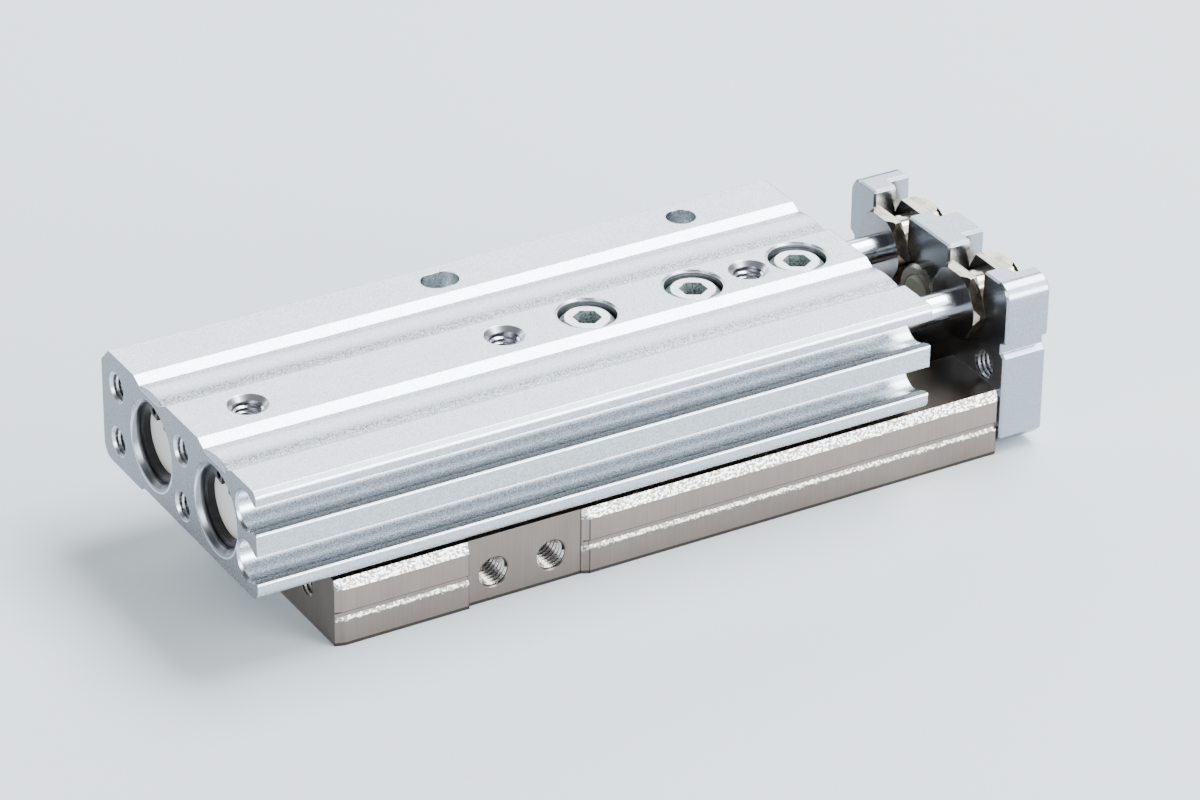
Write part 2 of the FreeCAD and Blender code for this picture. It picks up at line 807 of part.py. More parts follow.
def make_socket_screw(label, along, across, up, width, length, head, height, socket, depth):
    """A socket head cap screw about its own X axis, head towards +X."""
    edge, tip = of.screw_head_edge, of.turned_edge
    body = turned_piece(label, [
        (0.0, 0.0), (0.0, width / 2 - tip), (tip, width / 2), (length, width / 2),
        (length, head / 2), (length + height - edge, head / 2),
        (length + height, head / 2 - edge), (length + height, 0.0)], along, across, up)
    face = sketch_on(body, "YZ_Plane", label + "_socket", length + height)
    draw_hexagon(face, socket)
    pocket(body, face, depth)
    return body


def make_rail_screws():
    length = of.body_top - of.screw_head_sink - of.screw_head_height
    length = length - of.rail_bottom - of.screw_tip_margin
    screws = []
    for place_number, along in enumerate(RAIL_SCREWS, start=1):
        screw = make_socket_screw("rail_screw_%d" % place_number, along, 0.0,
                                  of.rail_bottom + of.screw_tip_margin, of.rail_screw_diameter,
                                  length, of.screw_head_diameter, of.screw_head_height,
                                  of.screw_socket, of.screw_socket_depth)
        spin = FreeCAD.Rotation(Vector(0, 1, 0), -90)
        screw.Placement = FreeCAD.Placement(screw.Placement.Base, spin)
        screws.append(screw)
    gather("rail_screws", screws)


def make_cages():
    """Two cage strips, with crossed rollers in their windows."""
    start = rail_start + of.cage_rail_margin + of.retract_travel / 2
    height, span = of.cage_height, of.cage_length
    window = of.roller_diameter / 2 + of.running_clearance
    rise = (of.roller_diameter + of.roller_length) / math.sqrt(2) / 2 + 2 * of.running_clearance
    margin = (span - of.roller_pitch * (of.roller_count - 1)) / 2
    count = int(round(of.roller_count.value))
    for side, sign in SIDES:
        middle = (of.rail_half_width + of.guide_gap / 2) * sign
        body = start_body("roller_cage_" + side, start, middle, of.roller_height)
        strip = sketch_on(body, "XZ_Plane", "cage_strip_" + side, -(of.cage_thickness / 2))
        draw_loop(strip, [(0.0, -(height / 2)), (span, -(height / 2)),
                          (span, height / 2), (0.0, height / 2)])
        for step in range(count):
            x = margin + of.roller_pitch * step
            draw_loop(strip, [(x - window, -rise), (x + window, -rise),
                              (x + window, rise), (x - window, rise)])
        pad(body, strip, of.cage_thickness)
        rollers = []
        for step in range(count):
            roller = doc.addObject("Part::Cylinder", "roller_%s_%d" % (side, step + 1))
            roller.setExpression("Radius", formula(of.roller_diameter / 2))
            roller.setExpression("Height", formula(of.roller_length))
            lean = 45 if step % 2 else -45
            roller.Placement.Rotation = FreeCAD.Rotation(Vector(1, 0, 0), lean)
            back = of.roller_length * (math.sqrt(0.5) / 2)
            place(roller, start + margin + of.roller_pitch * step,
                  middle + back * (1 if step % 2 else -1), of.roller_height - back)
            rollers.append(roller)
        gather("cross_rollers_" + side, rollers)


# Table

def table_outline():
    """The table's channel section, anticlockwise seen from the front."""
    half, top, floor = of.table_half_width, of.table_top, of.table_floor
    wall = of.rail_half_width + of.guide_gap
    vee, middle = vee_depth(), of.roller_height
    low, deep = of.side_line_bottom, of.side_line_depth
    high = low + of.side_line_height
    band, inset = top - of.band_height, of.band_inset
    right = [
        (half, 0.0), (half, low), (half - deep, low + deep), (half - deep, high),
        (half, high), (half, band), (half - inset, top), (wall, top),
        (wall, middle + vee), (wall + vee, middle), (wall, middle - vee), (wall, floor),
    ]
    return right + [(-y, z) for y, z in reversed(right)]


def make_slide_table():
    body = start_body("slide_table", table_out)
    length, half, top = of.table_length, of.table_half_width, of.table_top
    outline = sketch_on(body, "YZ_Plane", "table_outline")
    draw_loop(outline, table_outline())
    pad(body, outline, length)

    # upright corners, and the milled pad on the near side
    reach, edge = half + PAST, of.front_edge
    corners = sketch_on(body, "XY_Plane", "upright_corners")
    draw_loop(corners, [(0.0, of.corner_chamfer_inset - half), (0.0, -reach),
                        (of.corner_chamfer, -reach), (of.corner_chamfer, -half)])
    draw_loop(corners, [(length - edge, -half), (length - edge, -reach),
                        (length, -reach), (length, edge - half)])
    mirror(body, pocket(body, corners, top, reverse=True))
    milled = sketch_on(body, "XY_Plane", "side_pad")
    start, end = of.pad_start, of.pad_start + of.pad_length
    draw_loop(milled, [(start, -reach), (end + of.pad_run_out, -reach),
                       (end + of.pad_run_out, -half), (end, of.pad_depth - half),
                       (start, of.pad_depth - half)])
    pocket(body, milled, top, reverse=True)

    taps = sketch_on(body, "XZ_Plane", "side_taps", half - of.pad_depth)
    places = [(of.side_tap_first + of.side_tap_pitch * step, of.side_tap_height)
              for step in range(2)]
    draw_circles(taps, places, of.tapped_width / 2)
    drill(body, taps, of.tapped_width, of.side_tap_depth, mouth=of.side_tap_mouth)

    far, wide = of.table_tap_spacing_long / 2, of.table_tap_spacing_wide / 2
    face = sketch_on(body, "XY_Plane", "face_taps")
    places = [(length / 2 + far * i, wide * j) for i in (-1, 1) for j in (-1, 1)]
    draw_circles(face, places, of.tapped_width / 2)
    drill(body, face, of.tapped_width, of.table_tap_depth, mouth=of.table_tap_mouth,
          reverse=True)
    locating = sketch_on(body, "XY_Plane", "table_locating")
    draw_circles(locating, [(length / 2, wide)], of.locating_width / 2)
    pocket(body, locating, of.table_locating_depth, reverse=True)
    slot = sketch_on(body, "XY_Plane", "table_slot")
    draw_slot(slot, length / 2, -wide)
    pocket(body, slot, of.table_locating_depth, reverse=True)

    rear = sketch_on(body, "YZ_Plane", "rear_taps")
    spots = [(of.rear_tap_side * sign, of.end_screw_height) for sign in (-1, 1)]
    draw_circles(rear, spots, of.small_tapped_width / 2)
    drill(body, rear, of.small_tapped_width, of.end_screw_tap_depth, reverse=True)
    front = sketch_on(body, "YZ_Plane", "front_taps", length)
    spots = [(of.plate_screw_side * sign, of.end_screw_height) for sign in (-1, 1)]
    draw_circles(front, spots, of.plate_screw_diameter / 2 + of.running_clearance)
    drill(body, front, of.plate_screw_diameter + 2 * of.running_clearance,
          of.end_screw_tap_depth)


# End plate and what it carries

def slot_corners(middle, half, top, height, edge=None):
    """An open slot with a round bottom, drawn from its far edge. Its mouth may
    have a bevel of the width edge."""
    walls = [(middle + half, height, (middle, height), -1), (middle - half, height)]
    if edge is None:
        return [(middle + half, top)] + walls + [(middle - half, top)]
    return ([(middle + half + edge, top), (middle + half, top - edge)] + walls
            + [(middle - half, top - edge), (middle - half - edge, top)])


def plate_outline():
    half, low, top = of.plate_half_width, of.plate_bottom, of.plate_top
    inner = half - of.plate_lower_inset
    foot, radius = of.plate_foot_chamfer, of.plate_corner_radius
    groove, reach = of.plate_groove_height, of.plate_groove_half
    floor = inner - of.plate_groove_depth
    slope = of.plate_groove_floor_half
    far = [
        (inner - foot, low), (inner, low + foot), (inner, groove - reach),
        (floor, groove - slope), (floor, groove + slope), (half, groove + reach),
    ]
    near = [(-y, z) for y, z in reversed(far)]
    middle, slot = of.bore_half_spacing, of.plate_slot_half_width
    return (far
            + [(half, top - radius, (half - radius, top - radius), 1),
               (half - radius, top)]
            + slot_corners(middle, slot, top, bore_height, of.plate_slot_edge)
            + slot_corners(-middle, slot, top, bore_height, of.plate_slot_edge)
            + [(radius - half, top, (radius - half, top - radius), 1),
               (-half, top - radius)]
            + near)


def make_end_plate():
    body = start_body("end_plate", plate_inner)
    thick = of.plate_thickness
    outline = sketch_on(body, "YZ_Plane", "plate_outline")
    draw_loop(outline, plate_outline())
    break_end_edges(body, pad(body, outline, thick), of.plate_edge)

    # each slot is wider in the outer half, where the nut turns
    recess = sketch_on(body, "YZ_Plane", "nut_recess", thick)
    corners = slot_corners(of.bore_half_spacing, of.plate_recess_radius,
                           of.plate_top + PAST, bore_height, of.plate_slot_edge + PAST)
    draw_loop(recess, corners)
    mirror(body, pocket(body, recess, of.plate_recess_depth))

    taps = sketch_on(body, "YZ_Plane", "plate_taps")
    places = [(of.plate_tap_half_spacing * sign, of.plate_tap_height) for sign in (-1, 1)]
    draw_circles(taps, places, of.tapped_width / 2)
    pocket(body, taps, thick, reverse=True)

    screws = sketch_on(body, "YZ_Plane", "plate_screw_holes", thick)
    places = [(of.plate_screw_side * sign, of.end_screw_height) for sign in (-1, 1)]
    draw_circles(screws, places, of.plate_screw_diameter / 2)
    gap = of.plate_screw_clearance
    drill(body, screws, of.plate_screw_diameter + gap, thick + PAST,
          seat=(of.plate_screw_head + gap, of.plate_screw_head_height + gap))

    stopper = sketch_on(body, "YZ_Plane", "stopper_hole")
    draw_circles(stopper, [(0.0, of.stopper_height)],
                 of.stopper_shank_diameter / 2 + of.running_clearance)
    pocket(body, stopper, thick, reverse=True)


def make_plate_screws():
    head_seat = plate_inner + of.plate_thickness
    head_seat = head_seat - of.plate_screw_head_height - of.plate_screw_clearance
    start = plate_inner - of.end_screw_tap_depth + of.plate_screw_tip_margin
    screws = [make_socket_screw("plate_screw_" + side, start, of.plate_screw_side * sign,
                                of.end_screw_height, of.plate_screw_diameter,
                                head_seat - start, of.plate_screw_head,
                                of.plate_screw_head_height, of.plate_screw_socket,
                                of.plate_screw_socket_depth)
              for side, sign in SIDES]
    gather("plate_screws", screws)


def chamfer_hexagon(body, label, face, inwards):
    """Turn the corners of a hexagon off at one face."""
    radius, high = of.bushing_turned_radius, of.bushing_width
    bevel = sketch_on(body, "XY_Plane", label + "_bevel")
    draw_loop(bevel, [(face, radius - of.bevel_drop), (face, high), (face + inwards, high),
                      (face + inwards, radius)])
    turn(body, bevel, "Groove", (plane(body, "X_Axis"), [""]))


def make_floating_bushing(side, across):
    """Hexagon flange inside the plate, and the neck that floats in the slot."""
    flange, gap = of.bushing_flange, of.bushing_axial_gap
    body = start_body("float_bushing_" + side, plate_inner - gap - flange, across, bore_height)
    base = sketch_on(body, "YZ_Plane", "flange_" + side)
    draw_hexagon(base, of.bushing_width)
    pad(body, base, flange)
    neck = sketch_on(body, "YZ_Plane", "neck_" + side, flange)
    draw_circles(neck, [(0.0, 0.0)], of.bushing_neck_diameter / 2)
    pad(body, neck, nut_start() - plate_inner + gap)
    bore = sketch_on(body, "YZ_Plane", "bushing_bore_" + side)
    draw_circles(bore, [(0.0, 0.0)], of.rod_end_diameter / 2 + of.running_clearance)
    pocket(body, bore, of.plate_thickness + flange, reverse=True)
    chamfer_hexagon(body, "flange_" + side, 0.0, of.flange_bevel)


def nut_start():
    """Inner face of the nut, just clear of the recess floor."""
    return plate_inner + of.plate_thickness - of.plate_recess_depth + of.bushing_axial_gap


def make_bushing_nut(side, across):
    body = start_body("bushing_nut_" + side, nut_start(), across, bore_height)
    base = sketch_on(body, "YZ_Plane", "nut_" + side)
    draw_hexagon(base, of.bushing_width)
    draw_circles(base, [(0.0, 0.0)], of.rod_end_diameter / 2 + of.running_clearance)
    pad(body, base, of.nut_thickness)
    chamfer_hexagon(body, "nut_" + side, of.nut_thickness, -of.nut_bevel)


def piston_rear():
    """Where each piston's rear face lies at rest."""
    return of.head_seat_depth + of.bumper_thickness + of.piston_margin + of.retract_travel


def make_pistons_and_rods():
    rear, length = piston_rear(), of.piston_length
    outer = of.bore_diameter / 2 - of.running_clearance
    floor, stub = of.piston_groove_radius, of.rod_stub_diameter / 2
    width, magnet = of.seal_groove_width, of.magnet_length
    gap, depth = of.face_clearance, of.rod_stub_length
    seal_place, magnet_place, edge = of.piston_seal_inset, of.magnet_start, of.turned_edge
    front_seal = length - seal_place - width
    flange = plate_inner - of.bushing_axial_gap - of.bushing_flange
    reach = flange - rear - length
    tail = nut_start() + of.nut_thickness - flange
    magnets, seals = [], []
    for side, sign in SIDES:
        across, up = of.bore_half_spacing * sign, bore_height
        turned_piece("piston_" + side, [
            (0.0, 0.0), (0.0, outer - edge), (edge, outer), (seal_place, outer),
            (seal_place, floor), (seal_place + width, floor), (seal_place + width, outer),
            (magnet_place, outer), (magnet_place, of.magnet_inner_radius),
            (magnet_place + magnet, of.magnet_inner_radius), (magnet_place + magnet, outer),
            (front_seal, outer), (front_seal, floor), (front_seal + width, floor),
            (front_seal + width, outer), (length, outer), (length, stub + gap),
            (length - depth, stub + gap), (length - depth, 0.0)], rear, across, up)
        magnets.append(turned_piece("magnet_" + side, [
            (gap, of.magnet_inner_radius + gap), (gap, of.magnet_outer_radius),
            (magnet - gap, of.magnet_outer_radius),
            (magnet - gap, of.magnet_inner_radius + gap)], rear + magnet_place, across, up))
        thick = (outer - floor) / 2 - gap / 2
        for name, spot in (("rear", seal_place), ("front", front_seal)):
            ring = doc.addObject("Part::Torus", "piston_seal_%s_%s" % (name, side))
            ring.setExpression("Radius1", formula(floor + gap + thick))
            ring.setExpression("Radius2", formula(thick))
            spin = FreeCAD.Rotation(Vector(0, 1, 0), 90)
            ring.Placement = FreeCAD.Placement(Vector(), spin)
            place(ring, rear + spot + width / 2, across, up)
            seals.append(ring)
        rod = of.rod_diameter / 2
        end = of.rod_end_diameter / 2
        turned_piece("piston_rod_" + side, [
            (gap - depth, 0.0), (gap - depth, stub), (0.0, stub), (0.0, rod), (reach, rod),
            (reach, end), (reach + tail - edge, end), (reach + tail, end - edge),
            (reach + tail, 0.0)], rear + length, across, up)
        make_floating_bushing(side, across)
        make_bushing_nut(side, across)
    gather("piston_magnets", magnets)
    gather("piston_seals", seals)


def make_stopper():
    """Middle stopper screw with a soft pad that meets the body when closed."""
    head, high = of.stopper_head_diameter / 2, of.stopper_head_height
    shank, hollow = of.stopper_shank_diameter / 2, of.stopper_pocket_depth
    pad_radius = of.stopper_pad_diameter / 2
    seat = pad_radius + of.running_clearance
    end, edge = high + of.plate_thickness, of.turned_edge
    body = turned_piece("stopper_screw", [
        (hollow, 0.0), (hollow, seat), (0.0, seat), (0.0, head - edge), (edge, head),
        (high, head), (high, shank), (end, shank), (end, 0.0)],
        plate_inner - high, 0.0, of.stopper_height)
    socket = sketch_on(body, "YZ_Plane", "stopper_socket", end)
    draw_hexagon(socket, of.stopper_socket)
    pocket(body, socket, of.stopper_socket_depth)
    proud = of.stopper_pad_proud - high
    turned_piece("stopper_pad", [
        (0.0, 0.0), (0.0, pad_radius - edge), (edge, pad_radius),
        (proud + hollow, pad_radius), (proud + hollow, 0.0)],
        plate_inner - of.stopper_pad_proud, 0.0, of.stopper_height)


make_cylinder_body()
make_bore_ends()
make_guide_rail()
make_rail_screws()
make_cages()
make_slide_table()
make_end_plate()
make_plate_screws()
make_pistons_and_rods()
make_stopper()
doc.recompute()

# Test every object, then write one file for each piece

for item in doc.Objects:
    faults = [word for word in item.State if word in ("Invalid", "Error")]
    if faults:
        raise RuntimeError("%s is %s" % (item.Name, faults))

os.makedirs("parts", exist_ok=True)
for piece in pieces:
    shape = piece.Shape
    if shape.isNull() or not shape.isValid():
        raise RuntimeError(piece.Label + " has no valid shape")
    box = shape.BoundBox
    print("%-22s %2d solids  x %7.2f %7.2f  y %7.2f %7.2f  z %6.2f %6.2f" % (
        piece.Label, len(shape.Solids), box.XMin, box.XMax, box.YMin, box.YMax,
        box.ZMin, box.ZMax))
    shape.exportStep("parts/%s.step" % piece.Label)
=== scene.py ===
import json
import math

import bpy
from mathutils import Matrix, Vector


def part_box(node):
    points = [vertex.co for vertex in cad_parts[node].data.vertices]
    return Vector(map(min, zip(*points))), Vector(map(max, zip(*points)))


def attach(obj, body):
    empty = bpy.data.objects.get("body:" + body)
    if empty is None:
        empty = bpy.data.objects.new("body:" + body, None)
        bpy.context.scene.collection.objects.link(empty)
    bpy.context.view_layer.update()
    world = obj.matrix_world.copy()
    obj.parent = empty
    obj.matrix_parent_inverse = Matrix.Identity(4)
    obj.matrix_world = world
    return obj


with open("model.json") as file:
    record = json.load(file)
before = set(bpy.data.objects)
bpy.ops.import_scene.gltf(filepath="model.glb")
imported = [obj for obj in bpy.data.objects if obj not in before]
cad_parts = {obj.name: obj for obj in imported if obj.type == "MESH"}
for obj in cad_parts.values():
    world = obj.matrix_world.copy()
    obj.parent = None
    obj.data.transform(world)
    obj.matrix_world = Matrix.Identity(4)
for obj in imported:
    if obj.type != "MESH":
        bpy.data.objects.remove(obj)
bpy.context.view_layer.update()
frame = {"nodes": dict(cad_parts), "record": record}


# Camera
# A long lens looks down on the near long side from the head end, close enough
# that the rear of the body is drawn a little larger than the end plate.

MM = 0.001
look_at = Vector((2.7, 0.0, 10.0)) * MM
azimuth, elevation, roll = math.radians(-30.613), math.radians(29.438), math.radians(0.673)
distance, aside, above = 498.05 * MM, 3.01 * MM, 1.05 * MM
back = Vector((math.sin(azimuth) * math.cos(elevation),
               -math.cos(azimuth) * math.cos(elevation), math.sin(elevation)))
level = Vector((math.cos(azimuth), math.sin(azimuth), 0.0))
upright = back.cross(level)
right = level * math.cos(roll) + upright * math.sin(roll)
upward = upright * math.cos(roll) - level * math.sin(roll)

camera_data = bpy.data.cameras.new("camera")
camera_data.sensor_width = 36.0
camera_data.lens = 154.69
camera_data.clip_start = 0.01
camera_data.clip_end = 20.0
camera = bpy.data.objects.new("camera", camera_data)
turned = Matrix((right, upward, back)).transposed().to_4x4()
eye = look_at + back * distance - right * aside - upward * above
camera.matrix_world = Matrix.Translation(eye) @ turned
bpy.context.scene.collection.objects.link(camera)
bpy.context.scene.camera = camera


# Floor and studio light
# A pale seamless sheet. A soft lamp hangs overhead, and one beyond the far side
# is mirrored by the top of the body. Two stand by the near side, one of them low
# enough to shine into the switch grooves, and one stands by the head end.

floor_size = 3.0
paper_seen, paper_bounce = (0.93, 0.985, 1.0, 1.0), (0.70, 0.745, 0.79, 1.0)
lamp_colour = (0.90, 0.955, 1.0)
room_colour, room_strength = (0.86, 0.92, 1.0, 1.0), 0.14


def feed(socket, value):
    """Link a socket to another one, or set its value."""
    if isinstance(value, bpy.types.NodeSocket):
        socket.id_data.links.new(value, socket)
    else:
        socket.default_value = value


def add_node(material, kind, options=None, **inputs):
    """A shader node with its options, and its inputs set or linked by name."""
    made = material.node_tree.nodes.new("ShaderNode" + kind)
    for name, value in (options or {}).items():
        setattr(made, name, value)
    for name, value in inputs.items():
        feed(made.inputs[name.replace("_", " ")], value)
    return made


def mix_colours(material, share, first, second, way="MIX"):
    """One colour over another by a share."""
    made = add_node(material, "Mix", {"data_type": "RGBA", "blend_type": way})
    for index, value in ((0, share), (6, first), (7, second)):
        feed(made.inputs[index], value)
    return made.outputs[2]


def start_material(name, **inputs):
    """A material with one Principled shader, its inputs set by name."""
    material = bpy.data.materials.new(name)
    material.use_nodes = True
    material.node_tree.nodes.clear()
    shader = add_node(material, "BsdfPrincipled", None, **inputs)
    add_node(material, "OutputMaterial", None, Surface=shader.outputs[0])
    return material, shader


def add_lamp(name, power, size, place, aim=(0.0, 0.0, 0.0)):
    """A soft rectangular lamp that points from its place to its aim."""
    lamp_data = bpy.data.lights.new(name, "AREA")
    lamp_data.shape = "RECTANGLE"
    lamp_data.size, lamp_data.size_y = size
    lamp_data.energy = power
    lamp_data.color = lamp_colour
    lamp = bpy.data.objects.new(name, lamp_data)
    way = Vector(aim) - Vector(place)
    lamp.rotation_euler = way.to_track_quat("-Z", "Y").to_euler()
    lamp.location = place
    bpy.context.scene.collection.objects.link(lamp)


bpy.ops.object.select_all(action="DESELECT")
bpy.ops.mesh.primitive_grid_add(x_subdivisions=4, y_subdivisions=4, size=floor_size)
floor = bpy.context.object
floor.name = "floor"
floor_paper, floor_shader = start_material("floor_paper", Roughness=0.9,
                                           Specular_IOR_Level=0.15)
seen = add_node(floor_paper, "LightPath").outputs["Is Camera Ray"]
feed(floor_shader.inputs["Base Color"], mix_colours(floor_paper, seen, paper_bounce, paper_seen))
floor.data.materials.append(floor_paper)

add_lamp("overhead", 14.8, (0.70, 0.43), (0.38, 0.01, 0.80))
add_lamp("beyond", 12.2, (1.7, 0.6), (0.20, 1.02, 0.60))
add_lamp("near_side", 3.4, (0.45, 0.46), (0.44, -0.60, 0.67))
add_lamp("near_card", 14.0, (0.72, 0.46), (0.47, -0.92, 0.25), aim=(0.0, 0.0, 0.02))
add_lamp("head_side", 5.5, (0.5, 0.4), (-0.95, -0.32, 0.34))

world = bpy.data.worlds.new("studio")
world.use_nodes = True
bpy.context.scene.world = world
sky = world.node_tree.nodes["Background"]
sky.inputs["Color"].default_value = room_colour
sky.inputs["Strength"].default_value = room_strength


# Cylinder body
# An aluminium extrusion, blasted and clear anodised, sawn and milled at both
# ends. Holes are drilled through its skin, and bright metal shows at their
# mouths. It carries everything that stays still.

def corners(name):
    """The lowest and the highest corner of a carried-over piece."""
    return [Vector(corner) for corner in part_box(name)]


def mount_centres(name):
    """The centres of a mount: its own place, or those of a pattern round it."""
    mount = next(mount for mount in frame["record"]["mounts"] if mount["name"] == name)
    centres = [Vector(mount["pos_m"])]
    across = [way for way in range(3) if mount["axis"][way] == 0]
    for way, spacing in zip(across, ("spacing_x_mm", "spacing_y_mm")):
        if spacing in mount["dims"]:
            half = Vector()
            half[way] = mount["dims"][spacing] / 2 * MM
            centres = [centre + half * side for centre in centres for side in (-1, 1)]
    return centres


body_low, body_high = corners("cylinder_body")
body_ends = (body_low.x + 0.03 * MM, body_high.x - 0.03 * MM)
top_taps = mount_centres("body_holes") + mount_centres("body_middle_hole")
end_taps = mount_centres("head_end_holes")
screws_low, screws_high = corners("rail_screws")
head_radius = (screws_high.y - screws_low.y) / 2
screw_seats = [Vector((x, 0.0, 0.0)) for x in (screws_low.x + head_radius,
                                               (screws_low.x + screws_high.x) / 2,
                                               screws_high.x - head_radius)]

# the rims of the bores are painted round the middle height of the end taps,
# which lies 0.4 mm below the bores' own axes
rim_height = sum(tap.z for tap in end_taps) / len(end_taps)
bore_rims = [Vector((0.0, (low.y + high.y) / 2, rim_height))
             for low, high in (corners("head_cap_near"), corners("head_cap_far"))]

# radii that take in a hole with its countersink, and its wall alone
top_tap_rim, seat_rim, end_tap_rim, bore_rim = 2.02 * MM, 3.06 * MM, 1.56 * MM, 4.43 * MM
m3_wall, seat_wall, m2_5_wall, bore_wall = 1.53 * MM, 2.95 * MM, 1.28 * MM, 4.26 * MM

# the lower edges of the switch grooves' mouths, and the heights between which
# the three lips beside the mouths round up
half_mouth = 1.45 * MM
lower_edge, upper_edge = (mount_centres(name)[0].z - half_mouth
                          for name in ("lower_switch_groove", "upper_switch_groove"))
lip_rounds = ((lower_edge - 0.325 * MM, lower_edge), (upper_edge - 0.35 * MM, upper_edge),
              (body_high.z - 0.75 * MM, body_high.z - 0.2 * MM))

body_colour, cut_colour = (0.75, 0.785, 0.815, 1.0), (0.86, 0.87, 0.89, 1.0)
# painted shade for the walls of holes and for the mouths of the bores
wall_shade_colour, mouth_shade_colour = (0.26, 0.265, 0.28, 1.0), (0.34, 0.35, 0.37, 1.0)
edge_radius = 0.05 * MM


def mix_values(material, share, first, second):
    """One value over another by a share."""
    made = add_node(material, "Mix", {"data_type": "FLOAT"})
    for index, value in ((0, share), (2, first), (3, second)):
        feed(made.inputs[index], value)
    return made.outputs[0]


def tint(material, colour, shade):
    """A colour made darker or lighter by a shade."""
    return mix_colours(material, 1.0, colour, shade, "MULTIPLY")


def calculate(material, operation, *values):
    """A sum on one or more values."""
    made = add_node(material, "Math", {"operation": operation})
    for socket, value in zip(made.inputs, values):
        feed(socket, value)
    return made.outputs[0]


def calculate_vector(material, operation, *vectors):
    """A sum on one or more vectors, which gives a vector or their distance."""
    made = add_node(material, "VectorMath", {"operation": operation})
    for socket, vector in zip(made.inputs, vectors):
        feed(socket, vector)
    return made.outputs["Value" if operation == "DISTANCE" else "Vector"]


def all_of(material, *shares):
    """1 where every share is 1: their product."""
    product = shares[0]
    for share in shares[1:]:
        product = calculate(material, "MULTIPLY", product, share)
    return product


def any_of(material, *shares):
    """1 where one share or more is 1: the largest of them."""
    largest = shares[0]
    for share in shares[1:]:
        largest = calculate(material, "MAXIMUM", largest, share)
    return largest


def over(material, value, low):
    """1 where a value is greater than low, else 0."""
    return calculate(material, "GREATER_THAN", value, low)


def under(material, value, high):
    """1 where a value is less than high, else 0."""
    return calculate(material, "LESS_THAN", value, high)


def between(material, value, low, high):
    """1 where a value lies between low and high, else 0."""
    return all_of(material, over(material, value, low), under(material, value, high))


def object_place(material):
    """The place of a point on the piece, in metres."""
    return add_node(material, "TexCoord").outputs["Object"]


def split(material, vector):
    """A vector's three values: for a place, they are in metres."""
    return add_node(material, "SeparateXYZ", Vector=vector).outputs


def facing(material):
    """The way the surface faces, as three values."""
    return split(material, add_node(material, "TexCoord").outputs["Normal"])


def stretch(material, vector, scale):
    """A place that a noise draws into lines along the axes of low scale."""
    return add_node(material, "Mapping", Vector=vector, Scale=scale).outputs[0]


def noise(material, vector, scale, detail=2.0, roughness=0.5):
    return add_node(material, "TexNoise", Vector=vector, Scale=scale, Detail=detail,
                    Roughness=roughness).outputs["Fac"]


def spread(material, value, low, high, start=0.3, end=0.7):
    """Bring a value between start and end to the range from low to high."""
    return add_node(material, "MapRange", {"clamp": True}, Value=value, From_Min=start,
                    From_Max=end, To_Min=low, To_Max=high).outputs[0]


def near_axes(material, place, axis, centres, radius):
    """1 within a radius of the lines along an axis through the centres."""
    across = Vector([0.0 if name == axis else 1.0 for name in "XYZ"])
    flat = calculate_vector(material, "MULTIPLY", place, across)
    shares = []
    for centre in centres:
        apart = calculate_vector(material, "DISTANCE", flat, centre * across)
        shares.append(under(material, apart, radius))
    return any_of(material, *shares)


def soften_edges(material, shader, radius, height=None, depth=0.0, strength=1.0, lean=None):
    """Break sharp edges by a small radius, with fine relief on top. The lean
    turns the surface up where an edge is rounded more."""
    normal = add_node(material, "Bevel", {"samples": 4}, Radius=radius).outputs[0]
    if lean is not None:
        raised = add_node(material, "CombineXYZ", Z=lean).outputs[0]
        leaning = calculate_vector(material, "ADD", normal, raised)
        normal = calculate_vector(material, "NORMALIZE", leaning)
    if height is not None:
        normal = add_node(material, "Bump", Strength=strength, Distance=depth, Height=height,
                          Normal=normal).outputs[0]
    feed(shader.inputs["Normal"], normal)


